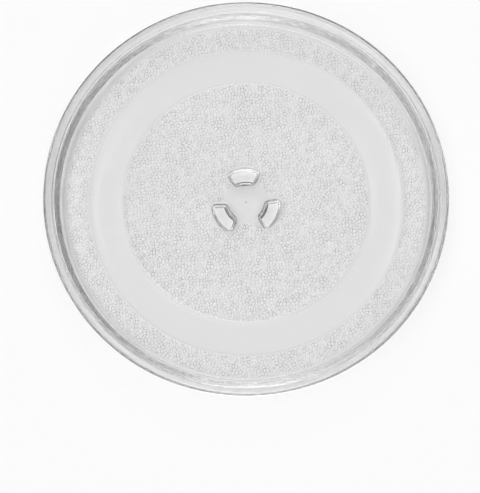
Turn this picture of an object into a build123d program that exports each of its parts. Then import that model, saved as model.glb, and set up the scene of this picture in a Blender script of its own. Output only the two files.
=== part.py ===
"""Microwave turntable plate, pressed in one piece of clear glass.

The plate is a shallow round dish that lies dish side up, with a flat lip round its wall. Under its
floor a smooth ring stands a little proud of the patterned glass and runs on the rollers of the
oven's roller ring. Round the centre, three drive lugs hang below the floor and take the arms of the
drive coupler between them. The plate turns about Z, and Z = 0 lies at the feet of the lugs.

Lengths are in millimetres and angles in degrees.
"""
import os
from math import radians, tan

from build123d import *

# Dish
PLATE_DIAMETER = 245.0  # across the outside of the lip
DISH_DEPTH = 9.0  # from the floor up to the flat top of the lip
FLOOR_THICKNESS = 4.6  # from the patterned underside to the floor
INNER_WALL_ANGLE = 58.0  # how steeply the inside of the wall rises from the floor
OUTER_WALL_ANGLE = 74.0  # how steeply the outside of the wall rises
INNER_BEND_RADIUS = 5.0  # where the floor turns up into the wall
OUTER_BEND_RADIUS = 4.0  # where the underside turns up into the wall

# Lip
LIP_WIDTH = 5.9  # flat top of the lip, from its outer edge to the wall inside
LIP_OVERHANG = 4.8  # how far the lip stands out from the outside of the wall
LIP_BAND_HEIGHT = 1.9  # upright band on its outer edge
LIP_TOP_CHAMFER = 0.5  # outer top edge, over and down
LIP_LOWER_CHAMFER = 1.9  # outer lower edge, over and up

# Roller track on the underside
TRACK_INNER_DIAMETER = 151.0
TRACK_OUTER_DIAMETER = 188.5
TRACK_RELIEF = 0.4  # how far the track stands proud of the patterned glass
TRACK_EDGE_WIDTH = 0.8  # sloping edge on either side of the track

# Drive lugs, measured where they leave the underside
LUG_COUNT = 3
FIRST_LUG_ANGLE = 90.0  # counted from X towards Y
LUG_HEIGHT = 5.4  # below the patterned underside
LUG_INNER_RADIUS = 11.0
LUG_OUTER_RADIUS = 21.5
LUG_ARC = 61.0  # angle between the two end walls
LUG_CORNER_RADIUS = 3.0
LUG_DRAFT = 10.0  # all four walls lean in towards the foot
LUG_FOOT_CHAMFER = 0.6  # edge round each foot

# Heights of the main faces above the feet of the lugs
UNDERSIDE_Z = LUG_HEIGHT
TRACK_Z = UNDERSIDE_Z - TRACK_RELIEF
FLOOR_Z = UNDERSIDE_Z + FLOOR_THICKNESS
LIP_TOP_Z = FLOOR_Z + DISH_DEPTH
BAND_TOP_Z = LIP_TOP_Z - LIP_TOP_CHAMFER
BAND_FOOT_Z = BAND_TOP_Z - LIP_BAND_HEIGHT
LIP_UNDER_Z = BAND_FOOT_Z - LIP_LOWER_CHAMFER


def dish_section():
    """Half section of the dish, from the axis out to the lip, in the XZ plane."""
    rim_radius = PLATE_DIAMETER / 2
    track_inner = TRACK_INNER_DIAMETER / 2
    track_outer = TRACK_OUTER_DIAMETER / 2
    wall_top_inside = rim_radius - LIP_WIDTH
    wall_top_outside = rim_radius - LIP_OVERHANG
    inner_bend = wall_top_inside - DISH_DEPTH / tan(radians(INNER_WALL_ANGLE))
    outer_bend = wall_top_outside - (LIP_UNDER_Z - UNDERSIDE_Z) / tan(radians(OUTER_WALL_ANGLE))

    corners = [
        ((0, UNDERSIDE_Z), 0),
        ((track_inner - TRACK_EDGE_WIDTH, UNDERSIDE_Z), 0),
        ((track_inner, TRACK_Z), 0),
        ((track_outer, TRACK_Z), 0),
        ((track_outer + TRACK_EDGE_WIDTH, UNDERSIDE_Z), 0),
        ((outer_bend, UNDERSIDE_Z), OUTER_BEND_RADIUS),
        ((wall_top_outside, LIP_UNDER_Z), 0),
        ((rim_radius - LIP_LOWER_CHAMFER, LIP_UNDER_Z), 0),
        ((rim_radius, BAND_FOOT_Z), 0),
        ((rim_radius, BAND_TOP_Z), 0),
        ((rim_radius - LIP_TOP_CHAMFER, LIP_TOP_Z), 0),
        ((wall_top_inside, LIP_TOP_Z), 0),
        ((inner_bend, FLOOR_Z), INNER_BEND_RADIUS),
        ((0, FLOOR_Z), 0),
    ]
    points = [point for point, _ in corners]
    radii = [radius for _, radius in corners]
    outline = FilletPolyline(*points, radius=radii, close=True)
    return Plane.XZ * make_face(outline)


def drive_lug():
    """One lug at the FIRST_LUG_ANGLE, drawn down from the underside to its foot."""
    first_end = FIRST_LUG_ANGLE - LUG_ARC / 2
    inner = CenterArc((0, 0), LUG_INNER_RADIUS, first_end, LUG_ARC)
    outer = CenterArc((0, 0), LUG_OUTER_RADIUS, first_end, LUG_ARC)
    first_wall = Line(inner @ 0, outer @ 0)
    last_wall = Line(inner @ 1, outer @ 1)
    root = make_face([inner, last_wall, outer, first_wall])
    root = fillet(root.vertices(), LUG_CORNER_RADIUS)
    lug = extrude(Pos(0, 0, UNDERSIDE_Z) * root, amount=LUG_HEIGHT, dir=(0, 0, -1), taper=LUG_DRAFT)
    foot_edges = lug.edges().group_by(Axis.Z)[0]
    return chamfer(foot_edges, LUG_FOOT_CHAMFER)


def glass_plate():
    """The whole plate: the turned dish with its lugs on the underside."""
    plate = revolve(dish_section(), Axis.Z)
    lug = drive_lug()
    for index in range(LUG_COUNT):
        plate += Rot(0, 0, index * 360 / LUG_COUNT) * lug
    return plate


os.makedirs("parts", exist_ok=True)
export_step(glass_plate(), "parts/glass_plate.step")
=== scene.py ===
"""Microwave turntable plate of clear pressed glass, lying dish side up on white studio paper.

The plate is one piece of glass. Its section is turned round the Z axis, its underside carries a
pressed stipple on either side of the smooth roller track, and three drive lugs hang from its
centre. Lengths are in metres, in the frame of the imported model, and angles in degrees.
"""
import math

import bmesh
import bpy
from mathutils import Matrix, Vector, noise


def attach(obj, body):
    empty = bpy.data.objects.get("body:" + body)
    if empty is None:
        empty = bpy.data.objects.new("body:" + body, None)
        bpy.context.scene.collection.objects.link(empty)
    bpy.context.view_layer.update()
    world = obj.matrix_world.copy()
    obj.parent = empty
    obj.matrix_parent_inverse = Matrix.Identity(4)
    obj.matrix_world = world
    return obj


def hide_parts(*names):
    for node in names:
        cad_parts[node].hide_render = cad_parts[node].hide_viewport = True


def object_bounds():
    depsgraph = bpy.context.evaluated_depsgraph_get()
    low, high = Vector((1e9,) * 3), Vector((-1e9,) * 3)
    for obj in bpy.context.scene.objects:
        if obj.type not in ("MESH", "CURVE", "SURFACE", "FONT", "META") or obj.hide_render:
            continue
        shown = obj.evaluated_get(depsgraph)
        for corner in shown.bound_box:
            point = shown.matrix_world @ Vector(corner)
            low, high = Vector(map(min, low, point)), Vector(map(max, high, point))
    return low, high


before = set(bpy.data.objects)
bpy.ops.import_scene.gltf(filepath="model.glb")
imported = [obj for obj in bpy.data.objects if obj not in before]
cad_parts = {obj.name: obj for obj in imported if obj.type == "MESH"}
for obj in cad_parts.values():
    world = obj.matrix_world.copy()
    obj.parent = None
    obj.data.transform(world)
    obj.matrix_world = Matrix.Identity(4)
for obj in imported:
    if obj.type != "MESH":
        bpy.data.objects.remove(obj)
CAD_LOW, CAD_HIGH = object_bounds()

MM = 0.001

# Section of the dish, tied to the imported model's box
RIM_RADIUS = (CAD_HIGH.x - CAD_LOW.x) / 2
RIM_Z = CAD_HIGH.z
DISH_DEPTH = 9.0 * MM
FLOOR_THICKNESS = 4.6 * MM
LIP_WIDTH = 5.9 * MM
LIP_THICKNESS = 4.3 * MM
LIP_OVERHANG = 4.8 * MM
INNER_WALL_ANGLE = 58.0
OUTER_WALL_ANGLE = 74.0
LIP_TOP_ROUND = 0.8 * MM
LIP_LOWER_ROUND = 3.3 * MM
LIP_INNER_ROUND = 0.4 * MM
LIP_ROOT_ROUND = 0.4 * MM
INNER_BEND = 1.5 * MM
OUTER_BEND = 2.5 * MM
FLOOR_RING = 3.0 * MM
FLOOR_Z = RIM_Z - DISH_DEPTH
UNDERSIDE_Z = FLOOR_Z - FLOOR_THICKNESS
MIDDLE_Z = (FLOOR_Z + UNDERSIDE_Z) / 2

# Roller track under the dish
TRACK_INNER = 75.5 * MM
TRACK_OUTER = 94.25 * MM
TRACK_RELIEF = 0.4 * MM
TRACK_EDGE = 0.8 * MM
TRACK_EDGE_ROUND = 0.4 * MM

# Drive lugs, measured where they leave the underside
LUG_COUNT = 3
LUG_TURN = 360 / LUG_COUNT
FIRST_LUG_ANGLE = 90.0
LUG_INNER = 11.0 * MM
LUG_OUTER = 21.5 * MM
LUG_ARC = 61.0
LUG_DRAFT = 10.0
LUG_CORNER = 3.0 * MM
LUG_FOOT_ROUND = 0.8 * MM
LUG_FOOT_BORDER = 0.2 * MM
LUG_ROOT_ROUND = 1.5 * MM
LUG_ROOT_REACH = 0.7 * MM
LUG_WALL_STEPS = 4
LUG_FOOT_Z = CAD_LOW.z

# Pip that the mould leaves in the middle of the underside
PIP_RADIUS = 0.8 * MM
PIP_DEPTH = 0.7 * MM
PIP_CORNERS = 12

# Pressed stipple, as pebbles with grooves between them
STIPPLE_PITCH = 1.9 * MM
STIPPLE_HEIGHT = 0.12 * MM
STIPPLE_FADE = 1.2 * MM  # over which it rises from smooth glass
STIPPLE_INNER = 13.0 * MM
STIPPLE_OUTER = 109.0 * MM
STIPPLE_SEED = 1
PEBBLE_SWAY = 0.25  # how far pebbles lie off their places, in pitches
PEBBLE_SWAY_SCALE = 0.7
PEBBLE_SHOULDER = 0.6  # width of their sloping sides, in pitches
GROOVE_WIDTH = 0.15  # in pitches

# Fineness of the mesh
MESH_PITCH = 0.75 * MM
PLAIN_PITCH = 3.0 * MM
HUB_RINGS = 31  # rings of the disc that the hub takes up
HUB_PASSES = 5
HUB_LONGEST = 1.5 * MESH_PITCH
HUB_SMOOTHINGS = 3
ROUND_STEPS = 6
SECTORS = 6
WELD = 0.02 * MM  # corners closer than this become one
NEAR = 0.01 * MM  # corners this close to the underside lie in it
WALL_MARGIN = 0.1 * MM  # above the feet and below the roots of the lug walls

# Glass and paper
GLASS_IOR = 1.52
GLASS_TINT = "#f0f0f0"
PEBBLE_TINT = "#ffffff"
DULL_PEBBLE_TINT = "#f6f6f6"
# painted shade: the grey that darkens the grooves between the pebbles
GROOVE_PAINTED_SHADE = "#3c3c3c"
# painted shade: grey on the lug walls that face the axis, for the dark lines at the lug edges
LUG_WALL_PAINTED_SHADE = "#6c6c6c"
LUG_WALL_ROUGHNESS = 0.25
LUG_WALL_CLEARNESS = 0.75
CLEAR_WALL_FACING = 0.3  # walls that face out from the axis more than this stay clear of the painted shade
PAPER_TINT = "#dcdcdc"
PAPER_SEEN = 0.8  # share of pure white where the camera sees the paper
PAPER_THROUGH = 0.15  # and where the glass shows it
PAPER_SIZE = 6.0
PAPER_GAP = 0.05 * MM

# Soft lights of the studio: strength, direction, and the angles where each has faded and is full
ROOM_LIGHT = 0.02
SOFT_LIGHTS = [
    (1.24, (0.0, 0.2, 1.0), 38.0, 18.0),
    (3.1, (0.0, 0.75, 0.68), 22.0, 11.0),
    (3.1, (0.0, -0.75, 0.58), 22.0, 11.0),
    (4.45, (-0.2, -0.2, 0.95), 28.0, 9.0),
]

# View, and the photograph's frame in pixels
IMAGE_HEIGHT = 493
CAMERA_DISTANCE = 3.2
CAMERA_ELEVATION = 76.6
CAMERA_AZIMUTH = -4.7
RIM_PIXELS = 202.84  # half the width of the rim
PIXELS_PER_METRE = RIM_PIXELS / RIM_RADIUS
FRAME_OFFSET_X = 6.05
FRAME_OFFSET_Y = 49.0
SENSOR_WIDTH = 36.0
CLIP_END = 20.0
GLASS_BOUNCES = 24
ALL_BOUNCES = 32


def linear(hex_colour):
    """An sRGB hex colour as linear RGBA."""
    channels = [int(hex_colour[i:i + 2], 16) / 255 for i in (1, 3, 5)]
    return [c / 12.92 if c <= 0.04045 else ((c + 0.055) / 1.055) ** 2.4 for c in channels] + [1.0]


def add_node(tree, kind, inputs=None, **settings):
    """A node of this kind with its settings, and with values or sockets on the named inputs."""
    node = tree.nodes.new(kind)
    for name, value in settings.items():
        setattr(node, name, value)
    for name, value in (inputs or {}).items():
        if isinstance(value, bpy.types.NodeSocket):
            tree.links.new(value, node.inputs[name])
        else:
            node.inputs[name].default_value = value
    return node


def add_object(name, bm, materials):
    """An object of this bmesh with its materials, at the origin."""
    mesh = bpy.data.meshes.new(name)
    bm.to_mesh(mesh)
    bm.free()
    for material in materials:
        mesh.materials.append(material)
    added = bpy.data.objects.new(name, mesh)
    bpy.context.scene.collection.objects.link(added)
    return added


def add_mesh(bm, other):
    """Move the mesh of another bmesh into this one."""
    mesh = bpy.data.meshes.new("moved")
    other.to_mesh(mesh)
    other.free()
    bm.from_mesh(mesh)
    bpy.data.meshes.remove(mesh)


def smooth_step(value):
    """Ease from 0 to 1 as the value goes from 0 to 1."""
    value = min(max(value, 0.0), 1.0)
    return value * value * (3 - 2 * value)


def reach(vert):
    """Distance of a vertex from the axis."""
    return math.hypot(vert.co.x, vert.co.y)


# Glass plate

def section_corners():
    """Corners of the section as radius, height and rounding, from the track round to the floor."""
    lip_z = RIM_Z - LIP_THICKNESS
    lip_root = RIM_RADIUS - LIP_OVERHANG
    track_z = UNDERSIDE_Z - TRACK_RELIEF
    outer_bend = lip_root - (lip_z - UNDERSIDE_Z) / math.tan(math.radians(OUTER_WALL_ANGLE))
    inner_bend = RIM_RADIUS - LIP_WIDTH - DISH_DEPTH / math.tan(math.radians(INNER_WALL_ANGLE))
    return [
        (TRACK_INNER - TRACK_EDGE, UNDERSIDE_Z, 0),
        (TRACK_INNER, track_z, TRACK_EDGE_ROUND),
        (TRACK_OUTER, track_z, TRACK_EDGE_ROUND),
        (TRACK_OUTER + TRACK_EDGE, UNDERSIDE_Z, TRACK_EDGE_ROUND),
        (outer_bend, UNDERSIDE_Z, OUTER_BEND),
        (lip_root, lip_z, LIP_ROOT_ROUND),
        (RIM_RADIUS, lip_z, LIP_LOWER_ROUND),
        (RIM_RADIUS, RIM_Z, LIP_TOP_ROUND),
        (RIM_RADIUS - LIP_WIDTH, RIM_Z, LIP_INNER_ROUND),
        (inner_bend, FLOOR_Z, INNER_BEND),
        (inner_bend - FLOOR_RING, FLOOR_Z, 0),
    ]


def turned_dish(steps):
    """The dish from the inner edge of the roller track round the rim to the middle of its floor."""
    corners = section_corners()
    bm = bmesh.new()
    verts = [bm.verts.new((radius, 0, z)) for radius, z, _ in corners]
    for first, second in zip(verts, verts[1:]):
        bm.edges.new((first, second))
    for vert, (_, _, rounding) in zip(verts, corners):
        if rounding:
            before, after = [edge.other_vert(vert).co - vert.co for edge in vert.link_edges]
            length = rounding / math.tan(before.angle(after) / 2)
            bmesh.ops.bevel(bm, geom=[vert], offset=length, offset_type="OFFSET",
                            segments=ROUND_STEPS, profile=0.5, affect="VERTICES", material=-1)
    for edge in bm.edges[:]:
        radius = min(reach(vert) for vert in edge.verts)
        low = max(vert.co.z for vert in edge.verts) < UNDERSIDE_Z + NEAR
        pitch = MESH_PITCH if low and radius > TRACK_OUTER else PLAIN_PITCH
        pieces = round(edge.calc_length() / pitch)
        if pieces > 1:
            bmesh.ops.subdivide_edges(bm, edges=[edge], cuts=pieces - 1)

    # One sector is spun out of the section, and the others are copies of it
    sector = math.tau / SECTORS
    bmesh.ops.spin(bm, geom=bm.verts[:] + bm.edges[:], cent=(0, 0, 0), axis=(0, 0, 1),
                   angle=sector, steps=steps // SECTORS)
    bmesh.ops.spin(bm, geom=bm.verts[:] + bm.edges[:] + bm.faces[:], cent=(0, 0, 0), axis=(0, 0, 1),
                   angle=math.tau - sector, steps=SECTORS - 1, use_duplicate=True)
    bmesh.ops.remove_doubles(bm, verts=bm.verts[:], dist=WELD)
    floor_edge = [e for e in bm.edges if e.is_boundary and e.verts[0].co.z > MIDDLE_Z]
    bmesh.ops.contextual_create(bm, geom=floor_edge)
    return bm


def ring_disc(ring_count, radius):
    """A flat disc of even triangles in rings: a hexagon cut into rows, then bent round."""
    bm = bmesh.new()
    bmesh.ops.create_circle(bm, cap_ends=True, cap_tris=True, segments=SECTORS, radius=radius)
    bmesh.ops.subdivide_edges(bm, edges=bm.edges[:], cuts=ring_count - 1, use_grid_fill=True)
    sector = math.tau / SECTORS
    for vert in bm.verts:
        angle = math.atan2(vert.co.y, vert.co.x)
        side = (math.floor(angle / sector - 0.5) + 1) * sector
        along = reach(vert) * math.sin(angle - side)
        ring = reach(vert) * math.cos(angle - side) / math.cos(sector / 2)
        turn = side + (along / ring if ring else 0) * sector
        vert.co = Vector((ring * math.cos(turn), ring * math.sin(turn), UNDERSIDE_Z))
    return bm


def lug_outline(bm, middle_angle):
    """Flat outline of one lug at its root: a strip with round corners, bent round the axis."""
    mean = (LUG_INNER + LUG_OUTER) / 2
    length = mean * math.radians(LUG_ARC) + 2 * LUG_ROOT_REACH
    width = LUG_OUTER - LUG_INNER + 2 * LUG_ROOT_REACH
    strip = bmesh.ops.create_grid(bm, x_segments=1, y_segments=1, size=0.5)["verts"]
    bmesh.ops.scale(bm, verts=strip, vec=(length, width, 1))
    rounded = bmesh.ops.bevel(bm, geom=strip, offset=LUG_CORNER + LUG_ROOT_REACH, offset_type="OFFSET",
                              segments=ROUND_STEPS, profile=0.5, affect="VERTICES", material=-1)
    face = rounded["verts"][0].link_faces[0]
    for edge in [e for e in face.edges if e.calc_length() > 2 * MESH_PITCH]:
        cuts = round(edge.calc_length() / MESH_PITCH) - 1
        bmesh.ops.subdivide_edges(bm, edges=[edge], cuts=cuts)
    for vert in face.verts:
        turn = math.radians(middle_angle) - vert.co.x / mean
        radius = mean + vert.co.y
        vert.co = Vector((radius * math.cos(turn), radius * math.sin(turn), UNDERSIDE_Z))
    return face


def lug_steps():
    """Steps inward and down from a lug's outline: hollow root, drafted wall, round foot, border."""
    lean = math.radians(LUG_DRAFT)
    turns = [step / ROUND_STEPS * (math.pi / 2 - lean) for step in range(ROUND_STEPS + 1)]
    root = [(LUG_ROOT_ROUND * math.sin(a), LUG_ROOT_ROUND * (1 - math.cos(a))) for a in turns]
    foot = [(LUG_FOOT_ROUND * (1 - math.cos(a + lean)), LUG_FOOT_ROUND * math.sin(a + lean))
            for a in turns]
    root_steps = [(b[0] - a[0], b[1] - a[1]) for a, b in zip(root, root[1:])]
    foot_steps = [(b[0] - a[0], b[1] - a[1]) for a, b in zip(foot, foot[1:])]
    wall_height = UNDERSIDE_Z - LUG_FOOT_Z - sum(down for _, down in root_steps + foot_steps)
    wall_step = wall_height / LUG_WALL_STEPS
    wall_steps = [(wall_step * math.tan(lean), wall_step)] * LUG_WALL_STEPS
    return root_steps + wall_steps + foot_steps + [(LUG_FOOT_BORDER, 0)]


def press_out(bm, face, steps):
    """Draw a face of the underside down by these steps inward and down."""
    for inward, down in steps:
        bmesh.ops.inset_region(bm, faces=[face], thickness=inward, use_even_offset=True, use_boundary=True)
        bmesh.ops.translate(bm, verts=face.verts[:], vec=(0, 0, -down))


def hub_disc(segments, radius):
    """The hub: fine triangles round the outlines of lugs and pip, which are then drawn down."""
    bm = bmesh.new()
    lugs = [lug_outline(bm, FIRST_LUG_ANGLE + index * LUG_TURN) for index in range(LUG_COUNT)]
    pip_verts = bmesh.ops.create_circle(bm, cap_ends=True, segments=PIP_CORNERS, radius=PIP_RADIUS)["verts"]
    rim_verts = bmesh.ops.create_circle(bm, cap_ends=False, segments=segments, radius=radius)["verts"]
    bmesh.ops.translate(bm, verts=pip_verts + rim_verts, vec=(0, 0, UNDERSIDE_Z))
    pip = pip_verts[0].link_faces[0]
    raised = lugs + [pip]
    fixed = set(bm.edges)
    bmesh.ops.triangle_fill(bm, edges=bm.edges[:], use_beauty=True)
    for _ in range(HUB_PASSES):
        long_edges = [e for e in bm.edges if e not in fixed and e.calc_length() > HUB_LONGEST]
        bmesh.ops.subdivide_edges(bm, edges=long_edges, cuts=1)
        bmesh.ops.triangulate(bm, faces=[f for f in bm.faces if f not in raised])
        for _ in range(HUB_SMOOTHINGS):
            bmesh.ops.beautify_fill(bm, faces=[f for f in bm.faces if f not in raised],
                                    edges=[e for e in bm.edges if e not in fixed])
            free = [v for v in bm.verts if not fixed.intersection(v.link_edges)]
            bmesh.ops.smooth_vert(bm, verts=free, factor=0.5, use_axis_x=True, use_axis_y=True)
    bmesh.ops.recalc_face_normals(bm, faces=bm.faces[:])
    for lug in lugs:
        press_out(bm, lug, lug_steps())
    press_out(bm, pip, [(PIP_RADIUS / 2, PIP_DEPTH)])
    return bm


def stipple(x, y):
    """Height of the pressed pebbles at a point of the underside, from -0.5 to 0.5."""
    place = Vector((x, y, 0)) / STIPPLE_PITCH
    place += PEBBLE_SWAY * noise.noise_vector(place * PEBBLE_SWAY_SCALE)
    distances, _ = noise.voronoi(place)
    return smooth_step((distances[1] - distances[0]) / PEBBLE_SHOULDER) - 0.5


def stipple_amount(x, y):
    """How far the stipple is pressed in at a point: it fades out at the track, lugs, hub and wall."""
    radius = math.hypot(x, y)
    angle = math.degrees(math.atan2(y, x)) - FIRST_LUG_ANGLE
    off_lug = abs((angle + LUG_TURN / 2) % LUG_TURN - LUG_TURN / 2)
    end_gap = math.radians(off_lug - LUG_ARC / 2) * radius
    lug_gap = max(LUG_INNER - radius, radius - LUG_OUTER, end_gap) - LUG_ROOT_REACH
    inner = min(radius - STIPPLE_INNER, TRACK_INNER - TRACK_EDGE - radius, lug_gap)
    outer = min(radius - TRACK_OUTER - TRACK_EDGE, STIPPLE_OUTER - radius)
    return smooth_step(max(inner, outer) / STIPPLE_FADE)


# Clear soda-lime glass, fire polished as it left the mould: colourless, sharp, a little grey in depth.
def polished_glass():
    material = bpy.data.materials.new("clear pressed soda-lime glass")
    material.use_nodes = True
    shader = material.node_tree.nodes["Principled BSDF"]
    shader.inputs["Base Color"].default_value = linear(GLASS_TINT)
    shader.inputs["Transmission Weight"].default_value = 1.0
    shader.inputs["Roughness"].default_value = 0.0
    shader.inputs["IOR"].default_value = GLASS_IOR
    return material


# The same glass where the mould pressed a stipple into it: bright pebbles, with painted shade in the base
# colour darkening the grooves between them.
def stippled_glass():
    material = polished_glass()
    material.name = "stippled pressed soda-lime glass with painted groove shade"
    tree = material.node_tree
    shader = tree.nodes["Principled BSDF"]
    place = add_node(tree, "ShaderNodeTexCoord").outputs["Object"]
    pattern = {"Vector": place, "Scale": 1 / STIPPLE_PITCH}
    edges = add_node(tree, "ShaderNodeTexVoronoi", pattern,
                     voronoi_dimensions="2D", feature="DISTANCE_TO_EDGE")
    cells = add_node(tree, "ShaderNodeTexVoronoi", pattern, voronoi_dimensions="2D", feature="F1")
    chance = add_node(tree, "ShaderNodeSeparateColor", {"Color": cells.outputs["Color"]})
    groove = add_node(tree, "ShaderNodeMapRange", {
        "Value": edges.outputs["Distance"], "From Min": 0.0, "From Max": GROOVE_WIDTH,
        "To Min": 1.0, "To Max": 0.0}, interpolation_type="SMOOTHSTEP")
    # painted shade: grooves darkened in the base colour, by a random amount per pebble
    depth = add_node(tree, "ShaderNodeMath", {
        0: groove.outputs["Result"], 1: chance.outputs["Green"]}, operation="MULTIPLY")
    pebble = add_node(tree, "ShaderNodeMix", {
        "Factor": chance.outputs["Red"], "A": linear(PEBBLE_TINT), "B": linear(DULL_PEBBLE_TINT)},
        data_type="RGBA")
    colour = add_node(tree, "ShaderNodeMix", {
        "Factor": depth.outputs["Value"], "A": pebble.outputs["Result"], "B": linear(GROOVE_PAINTED_SHADE)},
        data_type="RGBA")
    bump = add_node(tree, "ShaderNodeBump", {
        "Height": groove.outputs["Result"], "Distance": STIPPLE_HEIGHT / 2, "Strength": 1.0})
    tree.links.new(colour.outputs["Result"], shader.inputs["Base Color"])
    tree.links.new(bump.outputs["Normal"], shader.inputs["Normal"])
    return material


# The same glass on the lug walls that meet the coupler, made rough and greyed with painted shade: soft grey
# lines round clear feet.
def dulled_glass_with_painted_shade():
    material = polished_glass()
    material.name = "dulled pressed soda-lime glass with painted shade"
    shader = material.node_tree.nodes["Principled BSDF"]
    shader.inputs["Base Color"].default_value = linear(LUG_WALL_PAINTED_SHADE)
    shader.inputs["Transmission Weight"].default_value = LUG_WALL_CLEARNESS
    shader.inputs["Roughness"].default_value = LUG_WALL_ROUGHNESS
    return material


def glass_dish():
    """The whole plate: stippled disc, hub with its lugs, and the turned dish, welded together."""
    disc_radius = TRACK_INNER - TRACK_EDGE
    ring_count = round(disc_radius / MESH_PITCH)
    hub_radius = HUB_RINGS * disc_radius / ring_count
    bm = ring_disc(ring_count, disc_radius)
    inside = [v for v in bm.verts if reach(v) < hub_radius - MESH_PITCH / 2]
    bmesh.ops.delete(bm, geom=inside, context="VERTS")
    add_mesh(bm, hub_disc(HUB_RINGS * SECTORS, hub_radius))
    add_mesh(bm, turned_dish(ring_count * SECTORS))
    bmesh.ops.remove_doubles(bm, verts=bm.verts[:], dist=WELD)

    noise.seed_set(STIPPLE_SEED)
    for vert in [v for v in bm.verts if abs(v.co.z - UNDERSIDE_Z) < NEAR]:
        amount = stipple_amount(vert.co.x, vert.co.y)
        if amount:
            vert.co.z += STIPPLE_HEIGHT * amount * stipple(vert.co.x, vert.co.y)
    bmesh.ops.recalc_face_normals(bm, faces=bm.faces[:])
    bm.normal_update()

    materials = [polished_glass(), stippled_glass(), dulled_glass_with_painted_shade()]
    for face in bm.faces:
        face.smooth = True
        middle = face.calc_center_median()
        level = abs(middle.z - UNDERSIDE_Z) < STIPPLE_HEIGHT
        below = LUG_FOOT_Z + WALL_MARGIN < middle.z < UNDERSIDE_Z - WALL_MARGIN
        facing_out = face.normal.xy.dot(middle.xy.normalized())
        if level and stipple_amount(middle.x, middle.y) > 0.5:
            face.material_index = 1
        # lug walls that face the axis get the rough glass with painted shade
        elif below and middle.xy.length < LUG_OUTER and facing_out < CLEAR_WALL_FACING:
            face.material_index = 2
    return add_object("glass_dish", bm, materials)


plate = glass_dish()
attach(plate, "root")
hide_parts("glass_plate")


# Studio

# Matt white paper: seen as white, and grey enough in the light that the glass stands out on it.
def studio_paper():
    material = bpy.data.materials.new("white studio paper")
    material.use_nodes = True
    tree = material.node_tree
    tree.nodes.clear()
    path = add_node(tree, "ShaderNodeLightPath").outputs
    glass = add_node(tree, "ShaderNodeMath", {
        0: path["Is Glossy Ray"], 1: path["Is Transmission Ray"]}, operation="MAXIMUM")
    seen = add_node(tree, "ShaderNodeMath", {0: path["Is Camera Ray"], 1: PAPER_SEEN}, operation="MULTIPLY")
    share = add_node(tree, "ShaderNodeMath", {
        0: glass.outputs["Value"], 1: PAPER_THROUGH, 2: seen.outputs["Value"]}, operation="MULTIPLY_ADD")
    paper = add_node(tree, "ShaderNodeBsdfDiffuse", {"Color": linear(PAPER_TINT)})
    white = add_node(tree, "ShaderNodeEmission", {"Color": linear("#ffffff"), "Strength": 1.0})
    mix = add_node(tree, "ShaderNodeMixShader", {
        0: share.outputs["Value"], 1: paper.outputs["BSDF"], 2: white.outputs["Emission"]})
    add_node(tree, "ShaderNodeOutputMaterial", {"Surface": mix.outputs["Shader"]})
    return material


bm = bmesh.new()
bmesh.ops.create_grid(bm, x_segments=1, y_segments=1, size=PAPER_SIZE)
bmesh.ops.translate(bm, verts=bm.verts[:], vec=(0, 0, LUG_FOOT_Z - PAPER_GAP))
add_object("studio_floor", bm, [studio_paper()])

world = bpy.data.worlds.new("studio")
bpy.context.scene.world = world
world.use_nodes = True
tree = world.node_tree
tree.nodes.clear()
direction = add_node(tree, "ShaderNodeTexCoord").outputs["Generated"]
light = ROOM_LIGHT
for strength, towards, faded, full in SOFT_LIGHTS:
    facing = add_node(tree, "ShaderNodeVectorMath", {
        0: direction, 1: Vector(towards).normalized()}, operation="DOT_PRODUCT")
    glow = add_node(tree, "ShaderNodeMapRange", {
        "Value": facing.outputs["Value"], "From Min": math.cos(math.radians(faded)),
        "From Max": math.cos(math.radians(full)), "To Min": 0.0, "To Max": strength},
        interpolation_type="SMOOTHSTEP")
    total = add_node(tree, "ShaderNodeMath", {0: light, 1: glow.outputs["Result"]}, operation="ADD")
    light = total.outputs["Value"]
background = add_node(tree, "ShaderNodeBackground", {"Color": linear("#ffffff"), "Strength": light})
add_node(tree, "ShaderNodeOutputWorld", {"Surface": background.outputs["Background"]})

# Camera

azimuth = math.radians(CAMERA_AZIMUTH)
elevation = math.radians(CAMERA_ELEVATION)
back = Vector((math.sin(azimuth), -math.cos(azimuth), math.tan(elevation))).normalized()
turn = (-back).to_track_quat("-Z", "Y")
aim = Vector((0, 0, RIM_Z - LIP_TOP_ROUND))
aim -= turn @ Vector((FRAME_OFFSET_X, FRAME_OFFSET_Y, 0)) / PIXELS_PER_METRE
camera_data = bpy.data.cameras.new("camera")
camera_data.sensor_width = SENSOR_WIDTH
camera_data.lens = PIXELS_PER_METRE * CAMERA_DISTANCE * SENSOR_WIDTH / IMAGE_HEIGHT
camera_data.clip_end = CLIP_END
camera = bpy.data.objects.new("camera", camera_data)
camera.location = aim + back * CAMERA_DISTANCE
camera.rotation_mode = "QUATERNION"
camera.rotation_quaternion = turn
scene = bpy.context.scene
scene.collection.objects.link(camera)
scene.camera = camera

# Light goes through many faces of the glass, and unblurred, so that the paper below gets all of it
scene.view_settings.view_transform = "Standard"
scene.cycles.blur_glossy = 0.0
scene.cycles.glossy_bounces = GLASS_BOUNCES
scene.cycles.transmission_bounces = GLASS_BOUNCES
scene.cycles.max_bounces = ALL_BOUNCES
